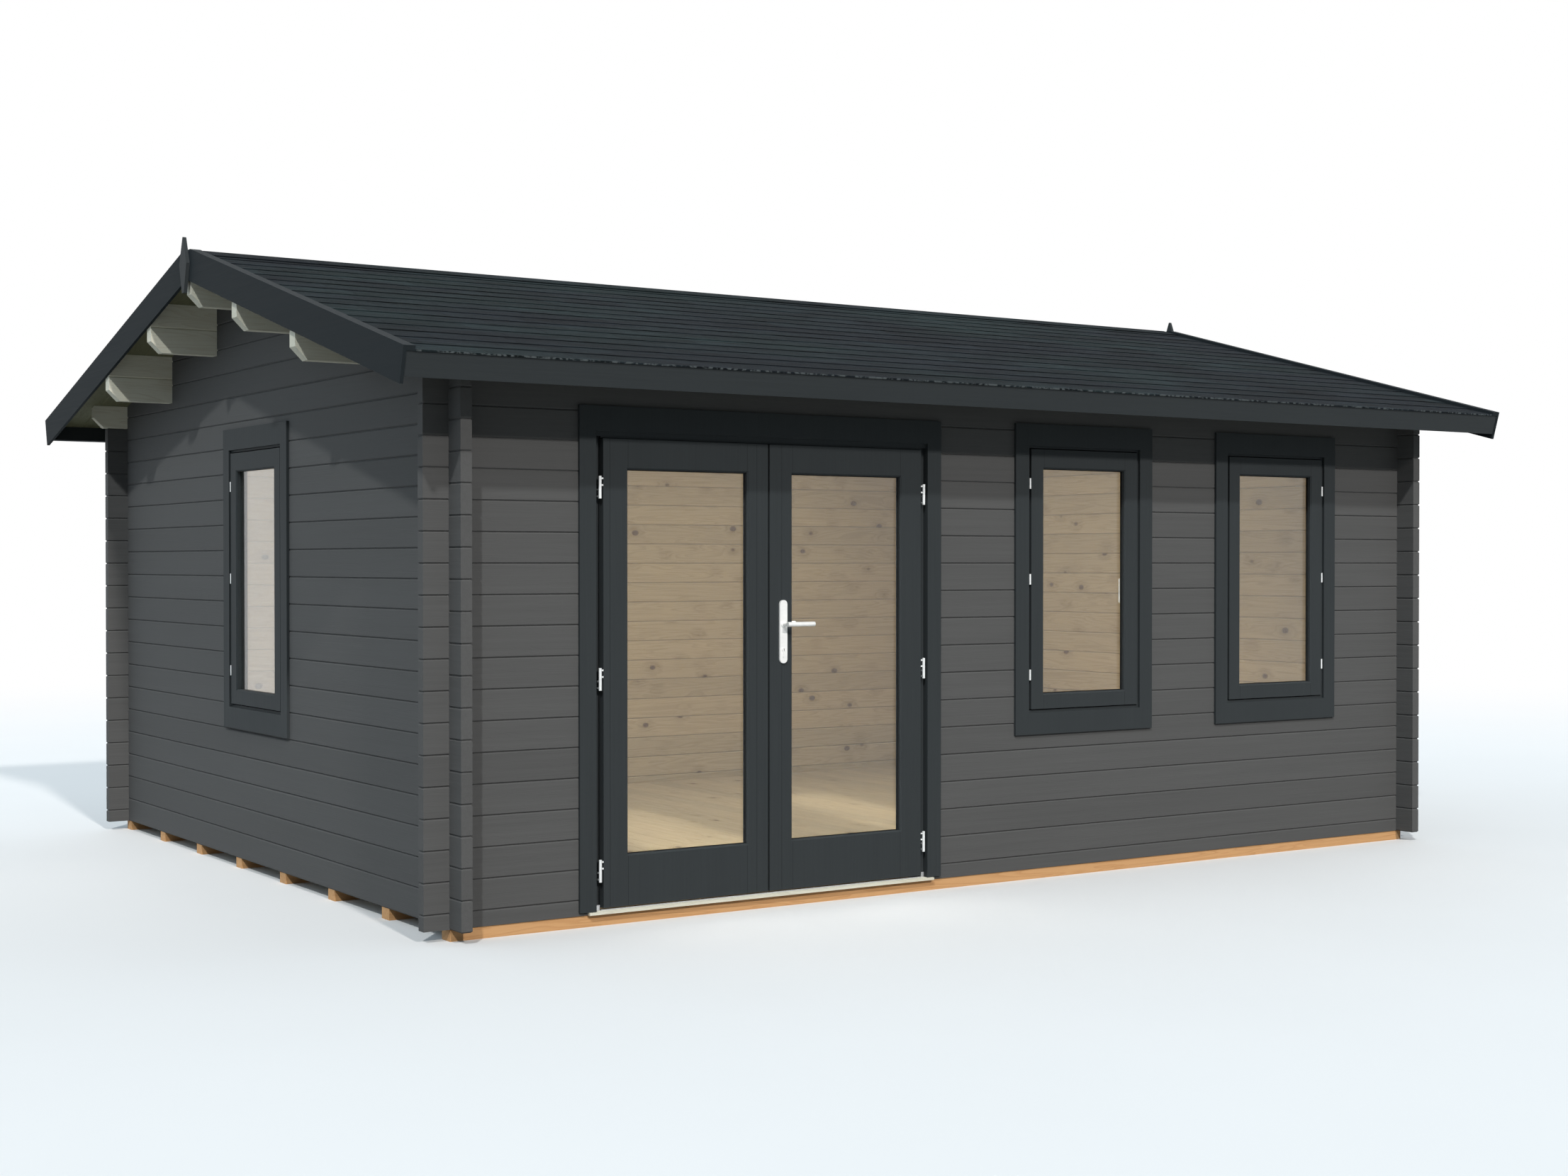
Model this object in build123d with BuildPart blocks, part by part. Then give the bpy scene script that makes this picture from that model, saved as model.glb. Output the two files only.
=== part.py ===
from build123d import *
from math import copysign, cos, radians, sin, tan
import os

os.makedirs("parts", exist_ok=True)

# A log cabin with double doors, three casement windows and a low gable roof.
# All sizes are in millimetres. The origin is the middle of the footprint, level with the
# underside of the bearers. The doors face -Y and the ridge runs along X.

# Logs and footprint
wall_length = 5100.0          # long walls, outer face to outer face of the side walls
wall_width = 3900.0           # side walls, outer face to outer face of the long walls
wall = 44.0                   # thickness of a log
course = 114.0                # height of a log
courses = 18                  # whole logs in a side wall, up to its gable
log_end = 100.0               # how far a log runs on past the wall that it crosses
groove = 5.0                  # depth of the V joint between two logs

# Floor
bearer_height = 45.0
bearer_width = 70.0
bearer_count = 8
bearer_inset = 5.0            # the bearers stop this far inside the walls' outer faces
floor_thickness = 19.0
floor_board = 121.0           # width that one floor board covers
floor_joint = 2.0             # depth of the V joint between two floor boards

# Roof
pitch = 15.0                  # degrees
eaves_log_height = 100.0      # the planed top log of a long wall, at its outer face
eaves_log_reach = 167.0       # how far the top log runs out past the side wall
eaves_out = 316.0             # upper edge of the fascia's face, from the long wall
gable_out = 313.0             # outer face of the barge board, from the side wall
roof_board_thickness = 18.0
roof_board = 88.0             # width that one roof board covers
roof_joint = 3.0              # depth of the V joint on the underside of the roof boards
covering_thin = 3.0           # shingle course at its upper edge
covering_thick = 6.0          # shingle course at its lower edge
covering_course = 145.0       # height of a shingle course along the slope
covering_drip = 4.0           # how far the covering stands out past the fascia
cap_width = 120.0             # ridge cap, down each slope
cap_thickness = 4.0
fascia_thickness = 18.0
fascia_depth = 90.0
barge_thickness = 13.0
barge_depth = 133.0           # depth of a barge board, square to the slope
barge_rise = 13.0             # top edge of a barge board above the covering, square to the slope
barge_past = 3.0              # how far the end of a barge board stands out past the fascia
barge_flat = 14.0             # height cut off the peak where two barge boards meet
verge_width = 31.0            # batten on the roof boards, inside a barge board
finial_thickness = 15.0
finial_height = 237.0
finial_rise = 55.0            # top of the finial above the ridge
finial_shoulder = 114.0       # top of the finial down to its widest point
finial_top = 6.0
finial_widest = 94.0
finial_foot = 26.0

# Purlins
purlin_width = 58.0
purlin_depth = 205.0          # from the underside to the roof boards, at the lower edge
purlin_places = (1209.0, 562.0)   # lower and upper purlin, from the middle of the cabin
purlin_chamfer = 50.0         # chamfer on the lower corner of a purlin's end

# Doors
door_centre = -1180.5         # middle of the doorway, along X
over_door = 163.0             # from the door frame up to the eaves log
leaf_thickness = 40.0
leaf_proud = 8.0              # face of a leaf or a sash in front of the wall's face
leaf_lift = 22.0              # underside of a leaf above the foot of the walls
door_clear_width = 1507.0     # between the frame's two jambs
leaf_gap = 8.0                # between a leaf and the frame, and between the two leaves
meeting_shift = 6.0           # the leaves meet this far to the left of the doorway's middle
stop_gap = 5.0                # between a closed leaf and the stop behind it
frame_face = 45.0             # width of a frame member, seen from the front
frame_depth = 70.0
jamb_recess = 18.0            # step back in the jambs, between the casing and the leaf
stop_cover = 12.0             # how far the stop stands in behind a leaf or a sash
casing_thickness = 12.0
casing_cover = 24.0           # how far a side casing stops short of the jamb's inner edge
casing_head_cover = 19.0      # the same at the head
door_casing_side = 70.0
door_casing_head = 94.0
inner_casing = 58.0
stile_width = 106.0           # stile on the hinge side of a leaf
meeting_stile = 102.5         # stile where the leaves meet, the mean of the two leaves
top_rail = 114.0
bottom_rail = 195.0
sheet_thickness = 4.0         # one sheet of a double-glazed pane
sheet_space = 6.0
pane_edge = 10.0              # how far a pane sits into the timber round it
door_pane_recess = 16.0       # face of the glass behind the face of a leaf
bead_chamfer = 6.0
sill_top = 12.0               # timber threshold above the foot of the walls
sill_nose = 18.0              # how far the nose stands out from the wall
sill_fall = 3.0               # how far the top of the nose falls to its front edge
sill_horn = 10.0              # how far the nose runs on past the frame, each side
rail_height = 4.0             # metal rail on the threshold
rail_width = 37.0

# Door hinges
hinge_height = 84.0
hinge_diameter = 12.0
hinge_low = 140.0             # middle of the lowest hinge above the foot of a leaf
hinge_high = 183.0            # middle of the highest hinge below the top of a leaf
hinge_aside = 6.0             # the hinge axis outside the jamb's inner face
hinge_split = 0.5             # between the two halves of a hinge
pin_diameter = 6.0
pin_clearance = 0.3
pin_reach = 21.0              # how far the pin runs up past the middle of the hinge
pin_room = 2.0                # free space over the pin
arm_size = 6.0                # height and thickness of the arms that hold a hinge
arm_places = (8.7, 33.6)      # middle of each arm from the end of the hinge

# Door handle
handle_inset = 61.0           # handle axis from the leaf's free edge
handle_level = 1050.0         # lever axis above the foot of the leaf
plate_width = 35.0
plate_height = 249.0
plate_thickness = 8.0
plate_corner = 16.5           # radius of the plate's corners
plate_below = 154.0           # foot of the plate below the lever axis
neck_diameter = 16.0
neck_clearance = 0.4
neck_length = 42.0            # plate's face to the middle of the lever
lever_diameter = 19.0
lever_length = 118.0
spindle = 8.0
spindle_hole = 14.0
cylinder_below = 100.0        # lock cylinder below the lever axis
cylinder_diameter = 17.0
cylinder_foot = 10.0
cylinder_height = 33.0
cylinder_proud = 3.0          # how far the cylinder stands out of a plate

# Windows
window_level = 1243.5         # middle of a window above the foot of the walls
front_windows = (465.5, 1654.0)
side_window = 24.5            # middle of the side window behind the middle of its wall
sash_width = 612.0
sash_height = 1115.0
sash_thickness = 40.0
sash_gap = 5.0
sash_stile = 72.0
sash_bottom = 66.0
sash_top = 82.0
sash_pane_recess = 19.0       # face of the glass behind the face of a sash
window_frame_face = 39.0
window_casing_side = 74.0
window_casing_head = 93.5
window_casing_cover = 10.0
window_hinge_height = 45.0
window_hinge_diameter = 10.0
window_hinge_spacing = 410.0
window_handle_level = -54.0   # window handle, from the middle of the window
window_handle_height = 110.0
window_handle_grip = 14.0     # width of the grip, and of the necks that hold it
window_handle_depth = 12.0    # thickness of the grip
window_handle_reach = 30.0    # inner face of the sash to the middle of the grip

# Levels and places that follow from these sizes
foot = bearer_height
half_length = wall_length / 2
half_width = wall_width / 2
side_top = foot + courses * course
long_top = side_top - course / 2
eaves_level = long_top + eaves_log_height
slope = tan(radians(pitch))
ridge_level = eaves_level + slope * half_width
boards_level = ridge_level + roof_board_thickness / cos(radians(pitch))
covering_level = boards_level + covering_thick / cos(radians(pitch))
roof_half = half_length + gable_out - barge_thickness
covering_half = roof_half - verge_width
eaves_run = (half_width + eaves_out) / cos(radians(pitch))

door_half = door_clear_width / 2
door_frame_half = door_half + frame_face
door_frame_top = long_top - over_door
door_head = door_frame_top - frame_face
leaf_foot = foot + leaf_lift
leaf_top = door_head - leaf_gap
leaf_height = leaf_top - leaf_foot
sill_level = foot + sill_top
pane_thickness = 2 * sheet_thickness + sheet_space
glass_width = door_half - 1.5 * leaf_gap - stile_width - meeting_stile
glass_top = leaf_top - top_rail
glass_foot = leaf_foot + bottom_rail
glass_height = glass_top - glass_foot

window_clear_width = sash_width + 2 * sash_gap
window_clear_height = sash_height + 2 * sash_gap
window_frame_width = window_clear_width + 2 * window_frame_face
window_frame_height = window_clear_height + 2 * window_frame_face
sash_glass_width = sash_width - 2 * sash_stile
sash_glass_height = sash_height - sash_top - sash_bottom
sash_glass_middle = (sash_bottom - sash_top) / 2

# Outer faces of the walls: x runs to the right and y up, as seen from outside
front_face = Plane(origin=(0, -half_width, 0), x_dir=(1, 0, 0), z_dir=(0, -1, 0))
back_face = Plane(origin=(0, half_width, 0), x_dir=(-1, 0, 0), z_dir=(0, 1, 0))
left_face = Plane(origin=(-half_length, 0, 0), x_dir=(0, -1, 0), z_dir=(-1, 0, 0))
right_face = Plane(origin=(half_length, 0, 0), x_dir=(0, 1, 0), z_dir=(1, 0, 0))


def spot(face, across, level):
    """A plane like face, with its origin moved to a point of that face."""
    return Plane(origin=face.from_local_coords((across, level, 0)), x_dir=face.x_dir, z_dir=face.z_dir)


def section(face, across):
    """The upright plane across a wall: x runs into the wall, y up, z along the wall."""
    return Plane(origin=face.from_local_coords((across, 0, 0)), x_dir=-face.z_dir, z_dir=face.x_dir)


def roof_level(y):
    """Height of the underside of the roof boards."""
    return ridge_level - slope * abs(y)


def save(piece, name):
    """Label a finished piece and write it."""
    piece.part.label = name
    export_step(piece.part, f"parts/{name}.step")


def log_panel(face, left, right, bottom, top, joints, free_ends=()):
    """A panel of stacked logs, with V joints on both faces and at its free ends.

    Each free end runs on past another wall. Where that wall crosses, half a course is cut away
    at every joint, so that the logs of the two walls lock into each other.
    """
    levels = [level for level in joints if bottom <= level <= top]
    crossings = [end - copysign(log_end + wall / 2, end) for end in free_ends]
    groove_side = groove * 2 ** 0.5
    with BuildPart() as panel:
        with BuildSketch(section(face, left)):
            with Locations((wall / 2, (bottom + top) / 2)):
                Rectangle(wall, top - bottom)
            with Locations(*[(depth, level) for depth in (0, wall) for level in levels]):
                Rectangle(groove_side, groove_side, rotation=45, mode=Mode.SUBTRACT)
        extrude(amount=right - left)
        if free_ends:
            with BuildSketch(face):
                with Locations(*[(end, level) for end in free_ends for level in levels]):
                    Rectangle(groove_side, groove_side, rotation=45)
                with Locations(*[(middle, level) for middle in crossings for level in levels]):
                    Rectangle(wall, course / 2)
            extrude(amount=-wall, mode=Mode.SUBTRACT)
    return panel.part


def ring(plane, width, height, hole_width, hole_height, deep, hole_middle=(0.0, 0.0)):
    """A rectangular frame on a plane, deep into the wall, with the middle of its hole at hole_middle."""
    with BuildPart() as frame:
        with BuildSketch(plane):
            Rectangle(width, height)
            with Locations(hole_middle):
                Rectangle(hole_width, hole_height, mode=Mode.SUBTRACT)
        extrude(amount=-deep)
    return frame.part


def arch(plane, half, top, hole_half, hole_top, bottom, deep):
    """Two uprights and a head on a plane, deep into the wall, open at the bottom."""
    with BuildPart() as frame:
        with BuildSketch(plane):
            with Locations((0, (bottom + top) / 2)):
                Rectangle(2 * half, top - bottom)
            with Locations((0, (bottom + hole_top) / 2)):
                Rectangle(2 * hole_half, hole_top - bottom, mode=Mode.SUBTRACT)
        extrude(amount=-deep)
    return frame.part


# Bearers and floor
with BuildPart() as floor_bearers:
    bearer_span = wall_width - 2 * bearer_inset - bearer_width
    with BuildSketch():
        with GridLocations(0, bearer_span / (bearer_count - 1), 1, bearer_count):
            Rectangle(wall_length - 2 * bearer_inset, bearer_width)
    extrude(amount=bearer_height)
save(floor_bearers, "floor_bearers")

with BuildPart() as floor_boards:
    floor_length = wall_length - 2 * wall
    joint_count = int(floor_length / floor_board)
    with BuildSketch(Plane.XZ.offset(-half_width + wall)):
        with Locations((0, foot + floor_thickness / 2)):
            Rectangle(floor_length, floor_thickness)
        with Locations((0, foot + floor_thickness)):
            with GridLocations(floor_board, 0, joint_count, 1):
                Rectangle(floor_joint, floor_joint, rotation=45, mode=Mode.SUBTRACT)
    extrude(amount=wall_width - 2 * wall)
    with BuildSketch(Plane.XY.offset(foot)):
        with Locations((door_centre, -half_width + frame_depth / 2)):
            Rectangle(2 * door_frame_half, frame_depth)
    extrude(amount=floor_thickness, mode=Mode.SUBTRACT)
save(floor_boards, "floor_boards")

# Walls. The doorway splits the front wall into a panel at each side and one over the doors.
side_joints = [foot + course * number for number in range(2 * courses)]
long_joints = [level + course / 2 for level in side_joints]
long_end = half_length + log_end
side_end = half_width + log_end
long_crossing = half_length - wall / 2
doorway_left = door_centre - door_frame_half
doorway_right = door_centre + door_frame_half

with BuildPart() as front_wall_left:
    add(log_panel(front_face, -long_end, doorway_left, foot, long_top, long_joints, [-long_end]))
save(front_wall_left, "front_wall_left")

with BuildPart() as front_wall_over_doors:
    add(log_panel(front_face, doorway_left, doorway_right, door_frame_top, long_top, long_joints))
save(front_wall_over_doors, "front_wall_over_doors")

with BuildPart() as front_wall_right:
    add(log_panel(front_face, doorway_right, long_end, foot, long_top, long_joints, [long_end]))
    with BuildSketch(front_face):
        with Locations(*[(middle, foot + window_level) for middle in front_windows]):
            Rectangle(window_frame_width, window_frame_height)
    extrude(amount=-wall, mode=Mode.SUBTRACT)
save(front_wall_right, "front_wall_right")

with BuildPart() as back_wall:
    add(log_panel(back_face, -long_end, long_end, foot, long_top, long_joints, [-long_end, long_end]))
save(back_wall, "back_wall")

with BuildPart() as left_wall:
    add(log_panel(left_face, -side_end, side_end, foot, side_top, side_joints, [-side_end, side_end]))
    with BuildSketch(left_face):
        with Locations((-side_window, foot + window_level)):
            Rectangle(window_frame_width, window_frame_height)
    extrude(amount=-wall, mode=Mode.SUBTRACT)
save(left_wall, "left_wall")

with BuildPart() as right_wall:
    add(log_panel(right_face, -side_end, side_end, foot, side_top, side_joints, [-side_end, side_end]))
save(right_wall, "right_wall")


def purlin_foot(place):
    """Level of the underside of a purlin whose middle stands place away from the ridge."""
    return roof_level(place + purlin_width / 2) - purlin_depth


def gable(face):
    """The logs above a side wall, cut to the roof and open where the purlins pass through."""
    places = (-purlin_places[0], -purlin_places[1], 0.0, purlin_places[1], purlin_places[0])
    with BuildPart() as panel:
        add(log_panel(face, -side_end, side_end, side_top, ridge_level, side_joints, [-side_end, side_end]))
        with BuildSketch(face):
            with BuildLine():
                low = roof_level(side_end)
                high = ridge_level + course
                Polyline((0, ridge_level), (side_end, low), (side_end, high), (-side_end, high),
                         (-side_end, low), close=True)
            make_face()
            for place in places:
                with Locations((place, purlin_foot(abs(place)) + purlin_depth)):
                    Rectangle(purlin_width, 2 * purlin_depth)
        extrude(amount=-wall, mode=Mode.SUBTRACT)
    return panel.part


with BuildPart() as left_gable:
    add(gable(left_face))
save(left_gable, "left_gable")

with BuildPart() as right_gable:
    add(gable(right_face))
save(right_gable, "right_gable")


def roof_log(low_y, high_y, bottom, reach, corner, joint):
    """A log along X under the roof boards: its top follows the roof and its ends are chamfered."""
    groove_side = groove * 2 ** 0.5
    top = [(y, roof_level(y)) for y in sorted({low_y, high_y} | ({0.0} if low_y < 0 < high_y else set()))]
    with BuildPart() as log:
        with BuildSketch(Plane.YZ.offset(-reach)):
            with BuildLine():
                Polyline((high_y, bottom), (low_y, bottom), *top, close=True)
            make_face()
            with Locations((low_y, joint), (high_y, joint)):
                Rectangle(groove_side, groove_side, rotation=45, mode=Mode.SUBTRACT)
        extrude(amount=2 * reach)
        with BuildSketch(Plane.XZ.offset(-high_y)):
            with Locations((-reach, bottom), (reach, bottom)):
                Rectangle(corner * 2 ** 0.5, corner * 2 ** 0.5, rotation=45)
        extrude(amount=high_y - low_y, mode=Mode.SUBTRACT)
    return log.part


for side, name in ((-1, "front"), (1, "rear")):
    faces_y = sorted((side * half_width, side * (half_width - wall)))
    reach = half_length + eaves_log_reach
    with BuildPart() as eaves_log:
        add(roof_log(*faces_y, long_top, reach, eaves_log_height / 2, long_top))
        with BuildSketch(Plane.XZ.offset(-faces_y[1])):
            with Locations(*[(end * long_crossing, level) for end in (-1, 1) for level in long_joints]):
                Rectangle(wall, course / 2)
        extrude(amount=wall, mode=Mode.SUBTRACT)
    save(eaves_log, f"{name}_eaves_log")
    with BuildPart() as purlins:
        for place in purlin_places:
            faces_y = sorted((side * (place - purlin_width / 2), side * (place + purlin_width / 2)))
            bottom = purlin_foot(place)
            add(roof_log(*faces_y, bottom, roof_half, purlin_chamfer, bottom + course))
    save(purlins, f"{name}_purlins")

with BuildPart() as ridge_purlin:
    bottom = purlin_foot(0)
    add(roof_log(-purlin_width / 2, purlin_width / 2, bottom, roof_half, purlin_chamfer, bottom + course))
save(ridge_purlin, "ridge_purlin")


# Roof
def on_slope(side, along, up):
    """A point of the roof's section: along down one slope from the ridge, up from the boards' top."""
    turn = radians(pitch)
    return side * (along * cos(turn) + up * sin(turn)), boards_level - along * sin(turn) + up * cos(turn)


def over_ridge(up):
    """The same at the peak: where a line at that height above the boards' top meets the middle."""
    return 0.0, boards_level + up / cos(radians(pitch))


for side, name in ((-1, "front"), (1, "rear")):
    boards_run = eaves_run - fascia_thickness
    with BuildPart() as roof_boards:
        with BuildSketch(Plane.YZ.offset(-roof_half)):
            with BuildLine():
                Polyline((0, ridge_level), on_slope(side, boards_run, -roof_board_thickness),
                         on_slope(side, boards_run, 0), (0, boards_level), close=True)
            make_face()
        extrude(amount=2 * roof_half)
        slope_plane = Plane(origin=(0, 0, ridge_level), x_dir=(1, 0, 0),
                            z_dir=(0, side * cos(radians(pitch)), -sin(radians(pitch))))
        with BuildSketch(slope_plane.offset(-course)):
            with GridLocations(roof_board, 0, int(2 * roof_half / roof_board), 1):
                Rectangle(roof_joint * 2 ** 0.5, roof_joint * 2 ** 0.5, rotation=45)
        extrude(amount=eaves_run + 2 * course, mode=Mode.SUBTRACT)
    save(roof_boards, f"{name}_roof_boards")

    covering_run = eaves_run + covering_drip
    with BuildPart() as covering:
        with BuildSketch(Plane.YZ.offset(-covering_half)):
            with BuildLine():
                outline = [on_slope(side, 0, 0), on_slope(side, covering_run, 0)]
                edge = covering_run
                while edge > covering_course:
                    outline.append(on_slope(side, edge, covering_thick))
                    edge -= covering_course
                    outline.append(on_slope(side, edge, covering_thin))
                outline.append(on_slope(side, edge, covering_thick))
                Polyline(*outline, over_ridge(covering_thick), close=True)
            make_face()
        extrude(amount=2 * covering_half)
    save(covering, f"{name}_roof_covering")

    with BuildPart() as fascia:
        with BuildSketch(Plane.YZ.offset(-roof_half)):
            with BuildLine():
                outer = [on_slope(side, eaves_run, up) for up in (0, -fascia_depth)]
                inner = [on_slope(side, boards_run, up) for up in (-fascia_depth, 0)]
                Polyline(*outer, *inner, close=True)
            make_face()
        extrude(amount=2 * roof_half)
    save(fascia, f"{name}_fascia")

with BuildPart() as ridge_cap:
    with BuildSketch(Plane.YZ.offset(-covering_half)):
        with BuildLine():
            cap_top = covering_thick + cap_thickness
            Polyline(over_ridge(covering_thick), on_slope(-1, cap_width, covering_thick),
                     on_slope(-1, cap_width, cap_top), over_ridge(cap_top), on_slope(1, cap_width, cap_top),
                     on_slope(1, cap_width, covering_thick), close=True)
        make_face()
    extrude(amount=2 * covering_half)
save(ridge_cap, "ridge_cap")


def barge_layer(end, side, start, thickness, underside):
    """One layer of a barge board, from its underside up to its top edge, which is cut flat at the peak."""
    top = covering_thick + barge_rise
    run = eaves_run + barge_past
    peak = over_ridge(top)[1] - barge_flat
    with BuildPart() as layer:
        with BuildSketch(Plane.YZ.offset(end * start)):
            with BuildLine():
                flat = [(0, peak), (side * barge_flat / slope, peak)]
                end_cut = [on_slope(side, run, top), on_slope(side, run, underside)]
                Polyline(over_ridge(underside), *flat, *end_cut, close=True)
            make_face()
        extrude(amount=end * thickness)
    return layer.part


# Barge boards, each with the batten that stands inside it on the roof boards, and finials
for end, end_name in ((-1, "left"), (1, "right")):
    for side, side_name in ((-1, "front"), (1, "rear")):
        underside = covering_thick + barge_rise - barge_depth
        with BuildPart() as barge_board:
            add(barge_layer(end, side, roof_half, barge_thickness, underside))
            add(barge_layer(end, side, covering_half, verge_width, 0.0))
        save(barge_board, f"{end_name}_{side_name}_barge_board")
    with BuildPart() as finial:
        with BuildSketch(Plane.YZ.offset(end * (roof_half + barge_thickness))):
            with BuildLine():
                top = covering_level + finial_rise
                half_outline = [(finial_foot / 2, top - finial_height),
                                (finial_widest / 2, top - finial_shoulder), (finial_top / 2, top)]
                Polyline(*half_outline, *[(-y, z) for y, z in reversed(half_outline)], close=True)
            make_face()
        extrude(amount=end * finial_thickness)
    save(finial, f"{end_name}_finial")

# Doorway: frame, casings, threshold and rail
doorway = spot(front_face, door_centre, 0)
with BuildPart() as door_frame:
    stop_depth = leaf_thickness - leaf_proud + stop_gap
    for start, end, hole_half, hole_top in (
        (0, jamb_recess, door_half + casing_cover, door_head),
        (jamb_recess, stop_depth, door_half, door_head),
        (stop_depth, frame_depth, door_half - stop_cover, door_head - stop_cover),
    ):
        add(arch(doorway.offset(-start), door_frame_half, door_frame_top, hole_half, hole_top, sill_level,
                 end - start))
save(door_frame, "door_frame")

with BuildPart() as door_casings:
    casing_half = door_half + casing_cover
    casing_head = door_head + casing_head_cover
    add(arch(doorway.offset(casing_thickness), casing_half + door_casing_side,
             casing_head + door_casing_head, casing_half, casing_head, sill_level, casing_thickness))
    add(arch(doorway.offset(-wall), door_frame_half + inner_casing, door_frame_top + inner_casing,
             door_frame_half, door_frame_top, foot + floor_thickness, casing_thickness))
save(door_casings, "door_casings")

with BuildPart() as door_threshold:
    with BuildSketch(section(doorway, -door_frame_half)):
        with BuildLine():
            Polyline((0, foot), (frame_depth, foot), (frame_depth, sill_level), (0, sill_level), close=True)
        make_face()
    extrude(amount=2 * door_frame_half)
    with BuildSketch(section(doorway, -door_frame_half - sill_horn)):
        with BuildLine():
            Polyline((0, foot), (0, sill_level), (-sill_nose, sill_level - sill_fall), (-sill_nose, foot),
                     close=True)
        make_face()
    extrude(amount=2 * (door_frame_half + sill_horn))
save(door_threshold, "door_threshold")

with BuildPart() as threshold_rail:
    with BuildSketch(section(doorway, -door_half)):
        with Locations((rail_width / 2, sill_level + rail_height / 2)):
            Rectangle(rail_width, rail_height)
    extrude(amount=2 * door_half)
save(threshold_rail, "threshold_rail")

# Door leaves, panes and hinges
door_face = front_face.offset(leaf_proud)
meeting_line = door_centre - meeting_shift
handle_plane = spot(door_face, meeting_line + leaf_gap / 2 + handle_inset, leaf_foot + handle_level)
hinge_y = -half_width - leaf_proud
half_hinge = (hinge_height - hinge_split) / 2
hinge_levels = (hinge_low, (hinge_low + leaf_height - hinge_high) / 2, leaf_height - hinge_high)
hinge_spots = [leaf_foot + level for level in hinge_levels]


def sheets(plane, width, height):
    """The two sheets of a double-glazed pane, the outer one with its face on the plane."""
    with BuildPart() as pane:
        for depth in (0, sheet_thickness + sheet_space):
            with BuildSketch(plane.offset(-depth)):
                Rectangle(width + 2 * pane_edge, height + 2 * pane_edge)
            extrude(amount=-sheet_thickness)
    return pane.part


def glazed(plane, width, height, hole_width, hole_height, hole_middle, thickness, pane_recess):
    """A leaf or sash: stiles and rails round a hole with bevelled edges and a groove for its pane."""
    with BuildPart() as panel:
        add(ring(plane, width, height, hole_width, hole_height, thickness, hole_middle))
        for depth, inward in ((0, -bead_chamfer), (-thickness, bead_chamfer)):
            with BuildSketch(plane.offset(depth)):
                with Locations(hole_middle):
                    Rectangle(hole_width + 2 * bead_chamfer, hole_height + 2 * bead_chamfer)
            extrude(amount=inward, taper=45, mode=Mode.SUBTRACT)
        with BuildSketch(plane.offset(-pane_recess)):
            with Locations(hole_middle):
                Rectangle(hole_width + 2 * pane_edge, hole_height + 2 * pane_edge)
        extrude(amount=-pane_thickness, mode=Mode.SUBTRACT)
    return panel.part


def cylinder_outline(mode):
    """The outline of the lock cylinder, below the lever axis of a sketch."""
    with Locations((0, -cylinder_below)):
        Circle(cylinder_diameter / 2, mode=mode)
    with Locations((0, -cylinder_below - (cylinder_height - cylinder_foot / 2) / 2)):
        SlotOverall(cylinder_height, cylinder_foot, rotation=90, mode=mode)


def upright_rod(x, y, foot_level, diameter, length):
    """An upright round rod."""
    with BuildPart() as rod:
        with BuildSketch(Plane(origin=(x, y, foot_level))):
            Circle(diameter / 2)
        extrude(amount=length)
    return rod.part


for side, name in ((-1, "left"), (1, "right")):
    leaf_width = door_half - 1.5 * leaf_gap + side * meeting_shift
    leaf_x = door_centre + side * (door_half - leaf_gap - leaf_width / 2)
    glass_x = door_centre + side * (door_half - leaf_gap - stile_width - glass_width / 2)
    glass_z = (glass_top + glass_foot) / 2
    leaf_z = (leaf_top + leaf_foot) / 2
    with BuildPart() as leaf:
        add(glazed(spot(door_face, leaf_x, leaf_z), leaf_width, leaf_height, glass_width, glass_height,
                   (glass_x - leaf_x, glass_z - leaf_z), leaf_thickness, door_pane_recess))
        if side == 1:
            with BuildSketch(handle_plane):
                Circle(spindle_hole / 2)
                cylinder_outline(Mode.ADD)
            extrude(amount=-leaf_thickness, mode=Mode.SUBTRACT)
    save(leaf, f"{name}_door_leaf")

    with BuildPart() as pane:
        add(sheets(spot(door_face, glass_x, glass_z).offset(-door_pane_recess), glass_width, glass_height))
    save(pane, f"{name}_door_pane")

    with BuildPart() as leaf_hinges:
        axis_x = door_centre + side * (door_half + hinge_aside)
        arm_length = hinge_aside + leaf_gap
        for level in hinge_spots:
            low = level + hinge_split / 2
            add(upright_rod(axis_x, hinge_y, low, hinge_diameter, half_hinge))
            arm_x = axis_x - side * arm_length / 2
            arm_y = hinge_y + arm_size / 2
            with Locations(*[(arm_x, arm_y, low + half_hinge - place) for place in arm_places]):
                Box(arm_length, arm_size, arm_size)
            add(upright_rod(axis_x, hinge_y, low, pin_diameter + 2 * pin_clearance, pin_reach + pin_room),
                mode=Mode.SUBTRACT)
    save(leaf_hinges, f"{name}_door_hinges")

with BuildPart() as frame_hinges:
    for axis_x in (door_centre - door_half - hinge_aside, door_centre + door_half + hinge_aside):
        arm_length = leaf_proud + jamb_recess
        for level in hinge_spots:
            low = level - hinge_height / 2
            add(upright_rod(axis_x, hinge_y, low, hinge_diameter, half_hinge))
            add(upright_rod(axis_x, hinge_y, low, pin_diameter, hinge_height / 2 + pin_reach))
            with Locations(*[(axis_x, hinge_y + arm_length / 2, low + place) for place in arm_places]):
                Box(arm_size, arm_length, arm_size)
save(frame_hinges, "door_frame_hinges")

# Door handle: a plate on each side of the leaf, a lock cylinder, and two levers on one spindle
with BuildPart() as handle_plates:
    for plane in (handle_plane.offset(plate_thickness), handle_plane.offset(-leaf_thickness)):
        with BuildSketch(plane):
            with Locations((0, plate_height / 2 - plate_below)):
                RectangleRounded(plate_width, plate_height, plate_corner)
            Circle(neck_diameter / 2 + neck_clearance, mode=Mode.SUBTRACT)
            cylinder_outline(Mode.SUBTRACT)
        extrude(amount=-plate_thickness)
save(handle_plates, "handle_plates")

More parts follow.
